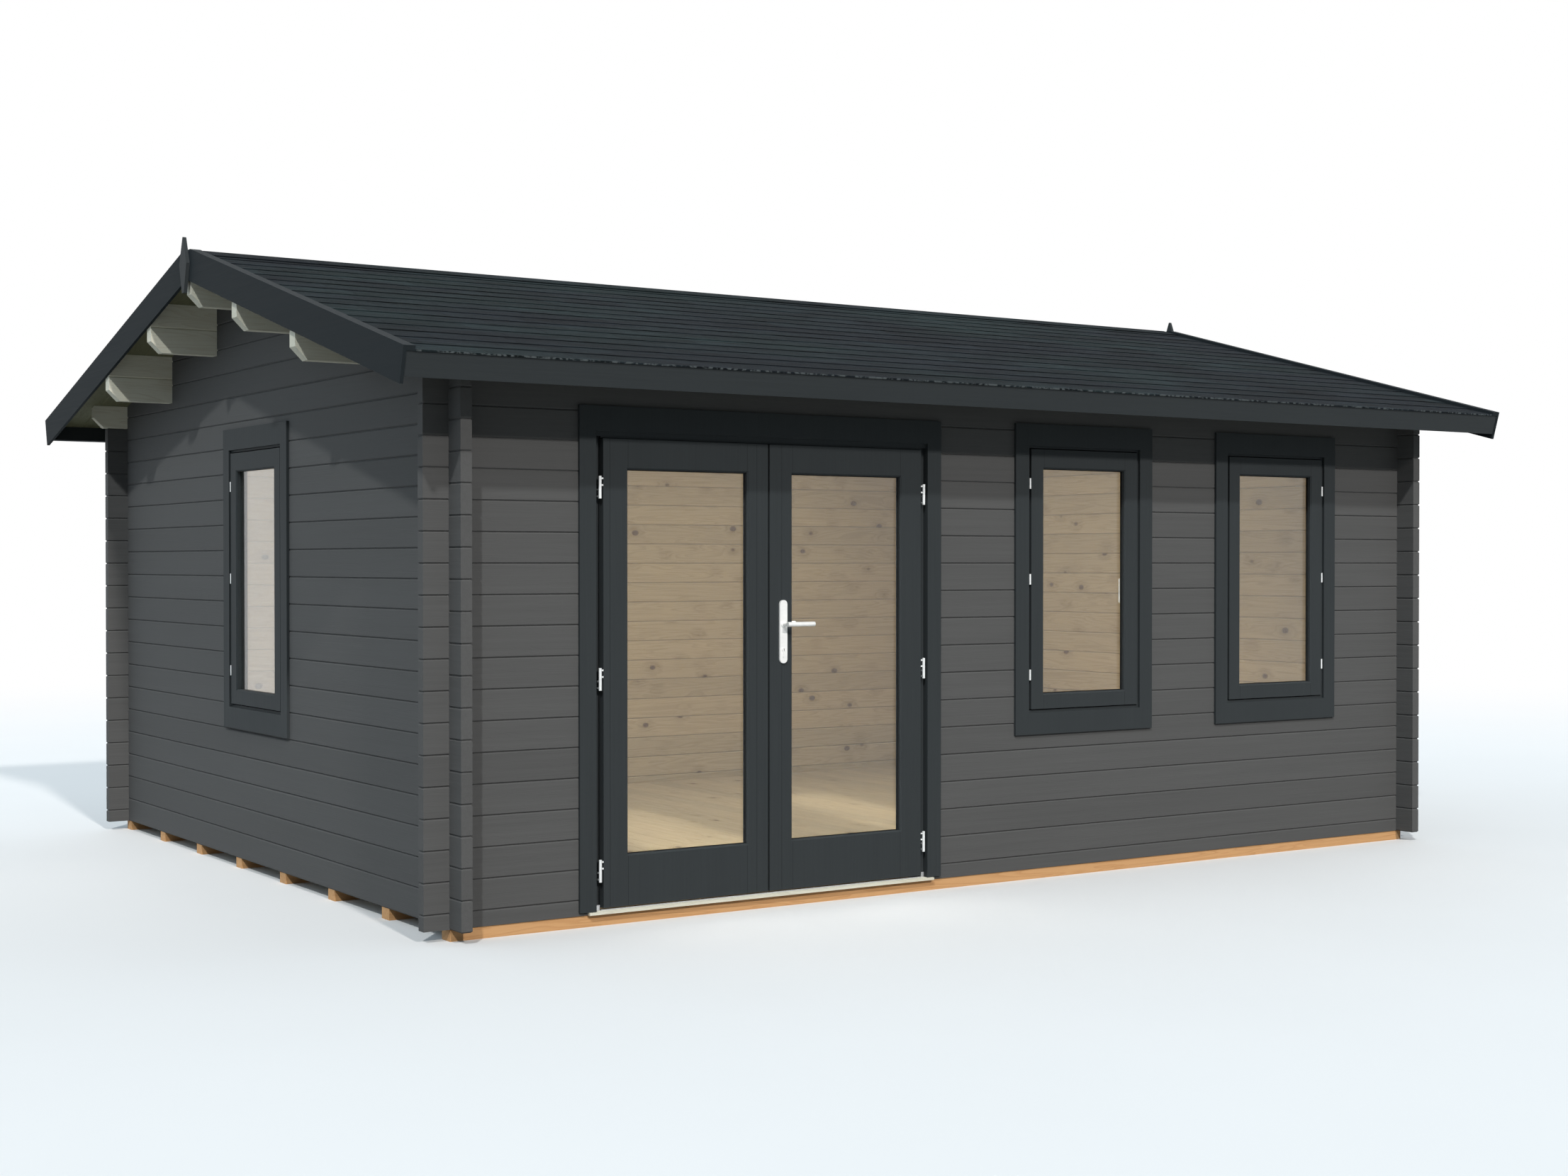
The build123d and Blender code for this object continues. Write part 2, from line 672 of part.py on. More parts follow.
with BuildPart() as lock_cylinder:
    with BuildSketch(handle_plane.offset(plate_thickness + cylinder_proud)):
        cylinder_outline(Mode.ADD)
    extrude(amount=-(leaf_thickness + 2 * plate_thickness + 2 * cylinder_proud))
save(lock_cylinder, "lock_cylinder")

with BuildPart() as door_levers:
    outer = handle_plane.offset(plate_thickness + neck_length)
    inner = handle_plane.offset(-leaf_thickness - plate_thickness - neck_length)
    with BuildSketch(outer):
        Rectangle(spindle, spindle)
    extrude(amount=-(leaf_thickness + 2 * plate_thickness + 2 * neck_length))
    for middle, outward in ((outer, 1), (inner, -1)):
        with BuildSketch(middle):
            Circle(neck_diameter / 2)
        extrude(amount=-outward * neck_length - outward * plate_thickness / 2)
        grip = Plane(origin=middle.origin, z_dir=(1, 0, 0))
        with BuildSketch(grip.offset(-lever_diameter / 2)):
            Circle(lever_diameter / 2)
        extrude(amount=lever_length + lever_diameter / 2)
save(door_levers, "door_levers")

# Windows, all fixed shut: frames, casings, sashes, panes, hinges and inside handles
window_spots = [
    (spot(front_face, front_windows[0], foot + window_level), -1),
    (spot(front_face, front_windows[1], foot + window_level), 1),
    (spot(left_face, -side_window, foot + window_level), -1),
]

sash_back = sash_thickness - leaf_proud
with BuildPart() as window_frames:
    for plane, hinge_side in window_spots:
        for start, end, cover in ((0, sash_back, 0.0), (sash_back, frame_depth, stop_cover)):
            add(ring(plane.offset(-start), window_frame_width, window_frame_height,
                     window_clear_width - 2 * cover, window_clear_height - 2 * cover, end - start))
save(window_frames, "window_frames")

with BuildPart() as window_casings:
    for plane, hinge_side in window_spots:
        hole_width = window_clear_width + 2 * window_casing_cover
        hole_height = window_clear_height + 2 * window_casing_cover
        add(ring(plane.offset(casing_thickness), hole_width + 2 * window_casing_side,
                 hole_height + 2 * window_casing_head, hole_width, hole_height, casing_thickness))
        add(ring(plane.offset(-wall), window_frame_width + 2 * inner_casing,
                 window_frame_height + 2 * inner_casing, window_frame_width, window_frame_height,
                 casing_thickness))
save(window_casings, "window_casings")

with BuildPart() as window_sashes:
    for plane, hinge_side in window_spots:
        add(glazed(plane.offset(leaf_proud), sash_width, sash_height, sash_glass_width, sash_glass_height,
                   (0, sash_glass_middle), sash_thickness, sash_pane_recess))
save(window_sashes, "window_sashes")

with BuildPart() as window_panes:
    for plane, hinge_side in window_spots:
        middle = spot(plane, 0, sash_glass_middle)
        add(sheets(middle.offset(leaf_proud - sash_pane_recess), sash_glass_width, sash_glass_height))
save(window_panes, "window_panes")

with BuildPart() as window_hinges:
    for plane, hinge_side in window_spots:
        side_x = hinge_side * (sash_width + window_hinge_diameter) / 2
        for step in (-1, 0, 1):
            low = plane.from_local_coords((side_x, step * window_hinge_spacing - window_hinge_height / 2,
                                           window_hinge_diameter / 2))
            add(upright_rod(low.X, low.Y, low.Z, window_hinge_diameter, window_hinge_height))
save(window_hinges, "window_hinges")

with BuildPart() as window_handles:
    for plane, hinge_side in window_spots:
        across = -hinge_side * (sash_width / 2 - sash_stile / 2)
        inside = spot(plane, across, window_handle_level).offset(-sash_back)
        with BuildSketch(inside):
            with GridLocations(0, window_handle_height - window_handle_grip, 1, 2):
                Circle(window_handle_grip / 2)
        extrude(amount=-window_handle_reach)
        with BuildSketch(inside.offset(-window_handle_reach)):
            SlotOverall(window_handle_height, window_handle_grip, rotation=90)
        extrude(amount=window_handle_depth / 2, both=True)
save(window_handles, "window_handles")
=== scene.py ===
import math

import bmesh
import bpy
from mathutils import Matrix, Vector


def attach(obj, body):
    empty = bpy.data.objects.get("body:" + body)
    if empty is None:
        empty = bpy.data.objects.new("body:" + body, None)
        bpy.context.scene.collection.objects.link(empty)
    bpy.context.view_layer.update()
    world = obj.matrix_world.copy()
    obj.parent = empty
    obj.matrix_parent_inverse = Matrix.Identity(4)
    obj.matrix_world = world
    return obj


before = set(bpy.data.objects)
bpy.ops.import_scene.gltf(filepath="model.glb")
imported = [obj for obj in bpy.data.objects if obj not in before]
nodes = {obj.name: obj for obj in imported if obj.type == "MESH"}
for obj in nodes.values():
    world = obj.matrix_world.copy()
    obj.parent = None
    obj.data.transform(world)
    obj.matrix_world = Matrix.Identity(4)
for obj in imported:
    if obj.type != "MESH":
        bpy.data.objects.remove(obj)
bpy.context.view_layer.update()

# Sizes of the cabin, in metres, as in the CAD
HALF_LENGTH = 2.55            # over the outer faces of the walls
HALF_WIDTH = 1.95
WALL = 0.044
COURSE = 0.114                # height that each log covers
FOOT = 0.045                  # underside of the lowest side log
PITCH = math.radians(15)
COVERING_COURSE = 0.145       # height of a course of felt, along the slope
COVERING_RUN = 2.266 / math.cos(PITCH) + 0.004
COVERING_EDGE = 2.2665        # past this distance from the ridge there is only the felt's lower edge
TAB = 0.333                   # width of a tab of felt
BOARD = 0.121                 # width of a floor board
ROOF_BOARD = 0.088
DOOR_CENTRE = -1.1805
DOOR_HALF = 0.7535            # half the clear width of the doorway
LEAF_LEVELS = (0.067, 1.824)
LEAF_FACE = -1.958            # outer face of the leaves, and of the sashes in the front wall
LEAF = 0.040
DOOR_GLASS_LEVELS = (0.262, 1.71)
LEFT_GLASS = (-1.820, -1.287)
RIGHT_GLASS = (-1.074, -0.541)
DOOR_PANE_RECESS = 0.016      # from the face of the leaf to the face of the pane
WINDOW_CENTRES = (0.4655, 1.654)
WINDOW_GLASS_HALF = 0.234
WINDOW_GLASS_LEVELS = (0.797, 1.764)
SASH_LEVELS = (0.731, 1.846)
WINDOW_PANE_RECESS = 0.019
BEAD = 0.007                  # width of the moulding round the glass
HANDLE_X = -1.1215
HANDLE_Z = 1.117
PLATE = 0.008                 # thickness of a handle plate
RAIL_TOP = 0.057              # top of the threshold, where the end blocks of the rail stand


def new_object(name, data):
    made = bpy.data.objects.new(name, data)
    bpy.context.scene.collection.objects.link(made)
    return made


# Nodes
class Nodes:
    """A node tree in the making: each call adds a node and gives its output."""

    def __init__(self, tree):
        self.tree = tree
        tree.nodes.clear()

    def add(self, kind, **settings):
        node = self.tree.nodes.new("ShaderNode" + kind)
        for key, value in settings.items():
            setattr(node, key, value)
        return node

    def put(self, socket, value):
        if isinstance(value, bpy.types.NodeSocket):
            self.tree.links.new(value, socket)
        else:
            socket.default_value = value

    def fill(self, node, *values):
        """Puts values into a node's first sockets."""
        for socket, value in zip(node.inputs, values):
            self.put(socket, value)
        return node.outputs[0]

    def sum(self, operation, *values):
        return self.fill(self.add("Math", operation=operation), *values)

    def span(self, value, low, high, start=0.0, end=1.0):
        """A smooth step from start, at low, to end, at high."""
        return self.fill(self.add("MapRange", interpolation_type="SMOOTHSTEP"), value, low, high, start, end)

    def point(self, x, y, z):
        return self.fill(self.add("CombineXYZ"), x, y, z)

    def axes(self, vector):
        node = self.add("SeparateXYZ")
        self.fill(node, vector)
        return node.outputs[0], node.outputs[1], node.outputs[2]

    def stretch(self, vector, scales):
        return self.fill(self.add("VectorMath", operation="MULTIPLY"), vector, scales)

    def noise(self, vector, scale=1.0, detail=3.0, roughness=0.5, distortion=0.0):
        node = self.add("TexNoise")
        for key, value in (("Vector", vector), ("Scale", scale), ("Detail", detail),
                           ("Roughness", roughness), ("Distortion", distortion)):
            self.put(node.inputs[key], value)
        return node.outputs["Fac"]

    def chance(self, value):
        """A number from 0 to 1 that is always the same for the same value."""
        node = self.add("TexWhiteNoise", noise_dimensions="1D")
        self.put(node.inputs["W"], value)
        return node.outputs["Value"]

    def cells(self, vector, scale):
        """How far the nearest of many scattered points is."""
        node = self.add("TexVoronoi", feature="F1")
        self.put(node.inputs["Vector"], vector)
        self.put(node.inputs["Scale"], scale)
        return node.outputs["Distance"]

    def mix(self, factor, first, second):
        node = self.add("Mix", data_type="RGBA")
        for socket, value in zip((node.inputs[0], node.inputs[6], node.inputs[7]), (factor, first, second)):
            self.put(socket, value)
        return node.outputs[2]

    def shade(self, colour, brightness):
        node = self.add("VectorMath", operation="SCALE")
        self.put(node.inputs[0], colour[:3] if isinstance(colour, tuple) else colour)
        self.put(node.inputs["Scale"], brightness)
        return node.outputs[0]

    def bump(self, height, distance):
        node = self.add("Bump")
        self.put(node.inputs["Height"], height)
        self.put(node.inputs["Distance"], distance)
        return node.outputs["Normal"]

    def blend(self, factor, first, second):
        """One shader where the factor is 0, the other where it is 1."""
        return self.fill(self.add("MixShader"), factor, first, second)

    def seen(self):
        """1 for what the camera, gloss or glass sees, and 0 for light that falls on the object."""
        rays = self.add("LightPath").outputs
        directly = self.sum("MAXIMUM", rays["Is Camera Ray"], rays["Is Glossy Ray"])
        return self.sum("MAXIMUM", directly, rays["Is Transmission Ray"])


class Finish(Nodes):
    """The nodes of a material."""

    def __init__(self, name):
        self.material = bpy.data.materials.new(name)
        self.material.use_nodes = True
        super().__init__(self.material.node_tree)
        self.place = self.add("TexCoord").outputs["Object"]

    def surface(self, **sockets):
        node = self.add("BsdfPrincipled")
        for key, value in sockets.items():
            self.put(node.inputs[key.replace("_", " ")], value)
        return node.outputs[0]

    def done(self, shader):
        self.put(self.add("OutputMaterial").inputs["Surface"], shader)
        return self.material


# Colours
def srgb(red, green, blue):
    """A colour given as it looks on a screen, from 0 to 255."""
    return tuple(((c / 255 + 0.055) / 1.055) ** 2.4 for c in (red, green, blue)) + (1.0,)


PAINT = srgb(90, 90, 90)
TRIM = srgb(56, 60, 62)
# The barge boards have the same paint as the other trim. This darker copy of it is painted shade on the
# barge boards.
BARGE_TRIM_IN_PAINTED_SHADE = srgb(41, 46, 49)

# Timber: the pale wood, the dark wood of the rings, and the knots
PINE = (srgb(204, 185, 148), srgb(168, 143, 104), srgb(98, 68, 42))
CREAM = (srgb(226, 224, 208), srgb(206, 198, 176), srgb(160, 134, 102))
# The roof boards are the same cream timber as the purlins. This colour is darker and more olive: painted
# shade under the roof.
ROOF_BOARDS_IN_PAINTED_SHADE = (srgb(112, 112, 86), srgb(98, 94, 68), srgb(76, 62, 42))
TREATED = (srgb(218, 170, 120), srgb(190, 136, 86), srgb(128, 80, 48))

# How the wood is squeezed along the grain, and in the other two directions, before its knots are placed.
# It is most at right angles to the face that is seen, so that enough knots meet that face.
WALL_FACE = (0.7, 0.35, 1.0)
BOARD_FACE = (0.7, 1.0, 0.35)


# Materials
def grain_point(m, axis, offset):
    """Object coordinates turned so that the first runs along the grain, and moved along it."""
    x, y, z = m.axes(m.place)
    order = {"x": (x, y, z), "y": (y, x, z), "z": (z, x, y)}[axis]
    return m.point(m.sum("ADD", order[0], offset), order[1], order[2])


def timber(m, vector, pale, dark, knot, knot_size=0.017, knot_spacing=0.19, face=WALL_FACE):
    """Colour and height of bare softwood: growth rings, fine fibre and a few knots."""
    size = knot_size / knot_spacing
    distance = m.cells(m.stretch(vector, face), 1 / knot_spacing)
    knots = m.span(distance, size, 0.55 * size)
    around = m.span(distance, 3.2 * size, 0.9 * size)
    rings = m.noise(m.stretch(vector, (0.9, 17.0, 17.0)), 1.0, 2.0, 0.5, 1.1)
    bands = m.sum("FRACT", m.sum("MULTIPLY_ADD", rings, 9.0, m.sum("MULTIPLY", around, 0.8)))
    late = m.span(bands, 0.35, 1.0)
    fibre = m.noise(m.stretch(vector, (7.0, 260.0, 260.0)), 1.0, 2.0)
    tone = m.sum("ADD", m.sum("MULTIPLY", late, 0.34), m.sum("MULTIPLY", fibre, 0.3))
    tone = m.sum("ADD", tone, m.sum("MULTIPLY", around, 0.35))
    colour = m.mix(m.sum("MULTIPLY", knots, 0.85), m.mix(tone, pale, dark), knot)
    height = m.sum("ADD", m.sum("MULTIPLY", late, 0.6), m.sum("MULTIPLY", fibre, 0.5))
    return colour, height


def log_finish(name, axis, phase):
    """Painted outside and bare pine inside, with the tone and grain of each log its own."""
    m = Finish(name)
    x, y, z = m.axes(m.place)
    row = m.sum("DIVIDE", m.sum("SUBTRACT", z, phase), COURSE)
    chance = m.chance(m.sum("FLOOR", row))
    vector = grain_point(m, axis, m.sum("MULTIPLY", chance, 37.0))
    inside = m.sum("MULTIPLY", m.sum("LESS_THAN", m.sum("ABSOLUTE", x), HALF_LENGTH - WALL / 2),
                   m.sum("LESS_THAN", m.sum("ABSOLUTE", y), HALF_WIDTH - WALL / 2))
    streaks = m.noise(m.stretch(vector, (1.6, 70.0, 70.0)), 1.0, 4.0, 0.6)
    cloud = m.noise(m.stretch(vector, (0.8, 5.0, 5.0)), 1.0, 2.0)
    tone = m.sum("MULTIPLY_ADD", streaks, 0.22, m.sum("MULTIPLY_ADD", cloud, 0.12, 0.80))
    tone = m.sum("MULTIPLY", tone, m.sum("MULTIPLY_ADD", chance, 0.07, 0.985))
    painted = m.shade(PAINT, tone)
    bare, height = timber(m, vector, *PINE, knot_size=0.020, knot_spacing=0.15)
    bare = m.shade(bare, m.sum("MULTIPLY_ADD", chance, 0.16, 0.9))
    # The bare pine is darkened along the joints between the logs: painted shade in the grooves.
    joint = m.sum("ABSOLUTE", m.sum("SUBTRACT", m.sum("FRACT", row), 0.5))
    bare = m.shade(bare, m.span(joint, 0.485, 0.492, 1.0, 0.62))
    relief = m.sum("ADD", m.sum("MULTIPLY", streaks, 0.7), m.sum("MULTIPLY", height, 0.3))
    return m.done(m.surface(Base_Color=m.mix(inside, painted, bare),
                            Roughness=m.sum("MULTIPLY_ADD", streaks, 0.2, 0.55),
                            Specular_IOR_Level=0.05, Normal=m.bump(relief, 0.0006)))


def joint_lines(m, lines, half_width=0.0009):
    """1 on the lines where two members of a frame meet: upright ones at x, between two levels."""
    x, y, z = m.axes(m.place)
    mask = 0.0
    for line_x, low, high in lines:
        near = m.sum("LESS_THAN", m.sum("ABSOLUTE", m.sum("SUBTRACT", x, line_x)), half_width)
        middle = m.sum("ABSOLUTE", m.sum("SUBTRACT", z, (low + high) / 2))
        within = m.sum("LESS_THAN", middle, (high - low) / 2)
        mask = m.sum("MAXIMUM", mask, m.sum("MULTIPLY", near, within))
    return mask


def painted_finish(name, axis, colour, gloss=0.06, lines=()):
    """Paint on planed joinery, with a little grain and a few brush marks under it."""
    m = Finish(name)
    vector = grain_point(m, axis, 0.0)
    streaks = m.noise(m.stretch(vector, (2.2, 95.0, 95.0)), 1.0, 4.0, 0.6)
    cloud = m.noise(m.stretch(vector, (1.1, 6.0, 6.0)), 1.0, 2.0)
    tone = m.sum("MULTIPLY_ADD", streaks, 0.2, m.sum("MULTIPLY_ADD", cloud, 0.12, 0.82))
    if lines:
        tone = m.sum("MULTIPLY", tone, m.sum("MULTIPLY_ADD", joint_lines(m, lines), -0.45, 1.0))
    return m.done(m.surface(Base_Color=m.shade(colour, tone),
                            Roughness=m.sum("MULTIPLY_ADD", streaks, 0.2, 0.45),
                            Specular_IOR_Level=gloss, Normal=m.bump(streaks, 0.0005)))


def timber_finish(name, axis, colours, spacing=0.0, across="x", **knots):
    """Bare planed timber. With a spacing, the boards side by side each have their own grain."""
    m = Finish(name)
    if spacing:
        side = m.axes(m.place)["xyz".index(across)]
        chance = m.chance(m.sum("FLOOR", m.sum("DIVIDE", side, spacing)))
    else:
        chance = 0.5
    vector = grain_point(m, axis, m.sum("MULTIPLY", chance, 29.0))
    colour, height = timber(m, vector, *colours, **knots)
    return m.done(m.surface(Base_Color=m.shade(colour, m.sum("MULTIPLY_ADD", chance, 0.14, 0.93)),
                            Roughness=m.sum("MULTIPLY_ADD", height, 0.15, 0.6),
                            Specular_IOR_Level=0.25, Normal=m.bump(height, 0.0005)))


def felt_finish(name):
    """Slate-grey mineral felt: courses of tabs, each of its own tone, with streaks and bright grains."""
    m = Finish(name)
    x, y, z = m.axes(m.place)
    out = m.sum("ABSOLUTE", y)
    row = m.sum("DIVIDE", m.sum("SUBTRACT", COVERING_RUN, m.sum("DIVIDE", out, math.cos(PITCH))),
                COVERING_COURSE)
    course = m.sum("FLOOR", row)
    wander = m.noise(m.stretch(m.place, (6.0, 14.0, 14.0)), 1.0, 2.0)
    shift = m.sum("MULTIPLY_ADD", wander, 0.12, m.sum("MULTIPLY", m.chance(course), 0.9))
    along = m.sum("ADD", m.sum("DIVIDE", x, TAB), shift)
    tone = m.chance(m.sum("MULTIPLY_ADD", course, 37.7, m.sum("FLOOR", along)))
    slot = m.span(m.sum("ABSOLUTE", m.sum("SUBTRACT", m.sum("FRACT", along), 0.5)), 0.494, 0.499)
    slot = m.sum("MULTIPLY", slot, m.sum("LESS_THAN", m.sum("FRACT", row), 0.92))
    streaks = m.noise(m.stretch(m.place, (3.6, 46.0, 46.0)), 1.0, 7.0, 0.75, 0.5)
    patches = m.noise(m.stretch(m.place, (0.9, 2.2, 2.2)), 1.0, 3.0, 0.55)
    grains = m.noise(m.place, 700.0, 1.0)
    ragged = m.span(m.noise(m.place, 60.0, 3.0), 0.45, 0.6)
    colour = m.mix(m.span(patches, 0.4, 0.7, 0.0, 0.8), srgb(27, 32, 37), srgb(33, 44, 45))
    colour = m.shade(colour, m.sum("MULTIPLY_ADD", m.span(streaks, 0.33, 0.67), 1.15, 0.3))
    colour = m.shade(colour, m.sum("MULTIPLY_ADD", tone, 0.4, 0.8))
    colour = m.shade(colour, m.sum("MULTIPLY_ADD", slot, -0.6, 1.0))
    colour = m.mix(m.sum("MULTIPLY", m.span(grains, 0.68, 0.8), 0.35), colour, srgb(120, 130, 132))
    edge = m.sum("GREATER_THAN", out, COVERING_EDGE)
    colour = m.mix(m.sum("MULTIPLY", edge, ragged), colour, srgb(84, 90, 92))
    relief = m.sum("ADD", m.sum("MULTIPLY", grains, 0.5), m.sum("MULTIPLY", streaks, 0.9))
    relief = m.sum("ADD", relief, m.sum("MULTIPLY_ADD", tone, 0.6, m.sum("MULTIPLY", slot, -2.0)))
    return m.done(m.surface(Base_Color=colour, Roughness=0.9, Specular_IOR_Level=0.08,
                            Normal=m.bump(relief, 0.0016)))


def metal_finish(name, colour, roughness, metallic, brushed=(40.0, 40.0, 400.0)):
    """Satin metal with faint brushing and handling marks."""
    m = Finish(name)
    marks = m.noise(m.stretch(m.place, brushed), 1.0, 3.0)
    cloud = m.noise(m.place, 35.0, 2.0)
    tone = m.sum("MULTIPLY_ADD", marks, 0.12, m.sum("MULTIPLY_ADD", cloud, 0.12, 0.88))
    return m.done(m.surface(Base_Color=m.shade(colour, tone), Metallic=metallic,
                            Roughness=m.sum("MULTIPLY_ADD", cloud, 0.16, roughness - 0.08),
                            Normal=m.bump(marks, 0.0001)))


def rubber_and_painted_shade_finish(name, colour):
    """Matt black rubber with a faint mottle. It is also the flat dark of the painted shade in the keyways.
    """
    m = Finish(name)
    mottle = m.noise(m.place, 120.0, 3.0)
    return m.done(m.surface(Base_Color=m.shade(colour, m.sum("MULTIPLY_ADD", mottle, 0.5, 0.75)),
                            Roughness=0.7, Specular_IOR_Level=0.2, Normal=m.bump(mottle, 0.0002)))


def glass_finish(name):
    """Clear glass that lets the lamps' light through, very slightly green and rippled."""
    m = Finish(name)
    ripple = m.noise(m.place, 3.0, 1.0)
    glass = m.surface(Base_Color=(0.975, 0.99, 0.985, 1.0), Transmission_Weight=1.0, Roughness=0.0,
                      IOR=1.4, Normal=m.bump(ripple, 0.0004))
    clear = m.add("BsdfTransparent").outputs[0]
    return m.done(m.blend(m.add("LightPath").outputs["Is Shadow Ray"], glass, clear))


def stile_lines(sides, levels, glass_levels):
    """The joints of a frame's stiles and rails, below and above its glass."""
    return [(side, low, high) for side in sides
            for low, high in ((levels[0], glass_levels[0] - BEAD), (glass_levels[1] + BEAD, levels[1]))]


# On the doors there is also a line along the lap and along the mouldings
DOOR_LINES = stile_lines(LEFT_GLASS + RIGHT_GLASS, LEAF_LEVELS, DOOR_GLASS_LEVELS)
DOOR_LINES += [(line_x,) + LEAF_LEVELS for line_x in (-1.898, -1.2425, -1.1255)]
WINDOW_LINES = stile_lines([middle + side for middle in WINDOW_CENTRES
                            for side in (-WINDOW_GLASS_HALF, WINDOW_GLASS_HALF)],
                           SASH_LEVELS, WINDOW_GLASS_LEVELS)

logs_long = log_finish("painted_logs_long", "x", FOOT + COURSE / 2)
logs_side = log_finish("painted_logs_side", "y", FOOT)
trim_upright = painted_finish("painted_joinery_upright", "z", TRIM)
door_paint = painted_finish("painted_doors", "z", TRIM, lines=DOOR_LINES)
sash_paint = painted_finish("painted_sashes", "z", TRIM, lines=WINDOW_LINES)
trim_long = painted_finish("painted_joinery_long", "x", TRIM)
barge_trim_in_painted_shade = painted_finish("painted_joinery_side_in_painted_shade", "y", BARGE_TRIM_IN_PAINTED_SHADE, gloss=0.02)
cream_long = timber_finish("bare_timber_long", "x", CREAM)
roof_timber_in_painted_shade = timber_finish("roof_board_timber_painted_shade", "y", ROOF_BOARDS_IN_PAINTED_SHADE, spacing=ROOF_BOARD, face=BOARD_FACE)
floor_timber = timber_finish("floor_board_timber", "y", PINE, spacing=BOARD, face=BOARD_FACE)
treated = timber_finish("treated_timber", "x", TREATED, spacing=0.1, across="y", knot_size=0.009,
                        knot_spacing=0.3)
felt = felt_finish("mineral_felt")
glass = glass_finish("clear_glass")
zinc = metal_finish("zinc_hinge", srgb(236, 238, 238), 0.42, 0.35)
satin = metal_finish("satin_handle", srgb(246, 246, 244), 0.36, 0.25)
aluminium = metal_finish("aluminium_rail", srgb(196, 197, 198), 0.4, 1.0, (8.0, 300.0, 300.0))
rubber = rubber_and_painted_shade_finish("black_rubber", srgb(30, 31, 32))
# The keyways' dark colour is painted shade in the slots of the cylinder.
keyway_in_painted_shade = rubber_and_painted_shade_finish("keyway_painted_shade", srgb(22, 22, 22))

LOOKS = (
    (treated, ("floor_bearers",)),
    (floor_timber, ("floor_boards",)),
    (logs_long, ("front_wall_left", "front_wall_over_doors", "front_wall_right", "back_wall")),
    (logs_side, ("left_wall", "right_wall", "left_gable", "right_gable")),
    (cream_long, ("front_eaves_log", "rear_eaves_log", "front_purlins", "rear_purlins", "ridge_purlin",
                  "door_threshold")),
    (roof_timber_in_painted_shade, ("front_roof_boards", "rear_roof_boards")),
    (felt, ("front_roof_covering", "rear_roof_covering", "ridge_cap")),
    (trim_long, ("front_fascia", "rear_fascia")),
    (barge_trim_in_painted_shade, ("left_front_barge_board", "left_rear_barge_board", "right_front_barge_board",
                 "right_rear_barge_board")),
    (trim_upright, ("left_finial", "right_finial", "door_frame", "door_casings", "window_frames",
                    "window_casings")),
    (door_paint, ("left_door_leaf", "right_door_leaf")),
    (sash_paint, ("window_sashes",)),
    (glass, ("left_door_pane", "right_door_pane", "window_panes")),
    (zinc, ("left_door_hinges", "right_door_hinges", "door_frame_hinges", "window_hinges")),
    (satin, ("handle_plates", "lock_cylinder", "door_levers", "window_handles")),
    (aluminium, ("threshold_rail",)),
)
for material, names in LOOKS:
    for name in names:
        mesh = nodes[name].data
        mesh.materials.clear()
        mesh.materials.append(material)


# New pieces
ALONG_X = (1, 0, 0)
ALONG_Y = (0, 1, 0)
ALONG_Z = (0, 0, 1)


def bar(start, end, across, up, width, height, edge=0.0006):
    """A straight bar with chamfered edges: across and up are its section's directions."""
    w, h = width / 2, height / 2
    profile = [(-w + edge, -h), (w - edge, -h), (w, -h + edge), (w, h - edge),
               (w - edge, h), (-w + edge, h), (-w, h - edge), (-w, -h + edge)]
    count = len(profile)
    points = [Vector(base) + Vector(across) * u + Vector(up) * v
              for base in (start, end) for u, v in profile]
    faces = [(i, (i + 1) % count, count + (i + 1) % count, count + i) for i in range(count)]
    faces += [tuple(reversed(range(count))), tuple(range(count, 2 * count))]
    return points, faces


def disc_stack(centre, rings, sides=32):
    """A turned form along -Y: rings of (how far forward, radius), closed at both ends."""
    x, y, z = centre
    turns = [2 * math.pi * step / sides for step in range(sides)]
    points = [Vector((x + radius * math.cos(turn), y - forward, z + radius * math.sin(turn)))
              for forward, radius in rings for turn in turns]
    faces = [(ring * sides + i, ring * sides + (i + 1) % sides,
              (ring + 1) * sides + (i + 1) % sides, (ring + 1) * sides + i)
             for ring in range(len(rings) - 1) for i in range(sides)]
    faces += [tuple(reversed(range(sides))), tuple(range((len(rings) - 1) * sides, len(rings) * sides))]
    return points, faces


def frame_bars(sides, levels, y, width, depth):
    """Four bars that line a rectangular hole in a wall along X."""
    (left, right), (low, high) = sides, levels
    half = width / 2
    lying = [bar((left, y, z), (right, y, z), ALONG_Y, ALONG_Z, depth, width)
             for z in (low + half, high - half)]
    upright = [bar((x, y, low + width), (x, y, high - width), ALONG_Y, ALONG_X, depth, width)
               for x in (left + half, right - half)]
    return lying + upright


def make_piece(name, body, material, forms):
    """One object from several closed forms, with every face turned outwards, riding on a body."""
    shape = bmesh.new()
    for points, faces in forms:
        corners = [shape.verts.new(point) for point in points]
        for face in faces:
            shape.faces.new([corners[i] for i in face])
    bmesh.ops.recalc_face_normals(shape, faces=shape.faces)
    mesh = bpy.data.meshes.new(name)
    shape.to_mesh(mesh)
    shape.free()
    mesh.materials.append(material)
    piece = new_object(name, mesh)
    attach(piece, body)


# A seal in the head of the doorway
SEAL_Y = -1.944
SEAL_Z = LEAF_LEVELS[1] + 0.0052
SEAL_REACH = DOOR_HALF - 0.001
make_piece("door_head_seal", "cabin", door_paint,
           [bar((DOOR_CENTRE - SEAL_REACH, SEAL_Y, SEAL_Z), (DOOR_CENTRE + SEAL_REACH, SEAL_Y, SEAL_Z),
                ALONG_Y, ALONG_Z, 0.010, 0.0056)])

# Gaskets on the outer faces of the panes
GASKET_WIDTH = 0.0035
GASKET_DEPTH = 0.003


def gasket(name, body, sides, levels, recess):
    make_piece(name, body, rubber,
               frame_bars(sides, levels, LEAF_FACE + recess - GASKET_DEPTH / 2, GASKET_WIDTH, GASKET_DEPTH))


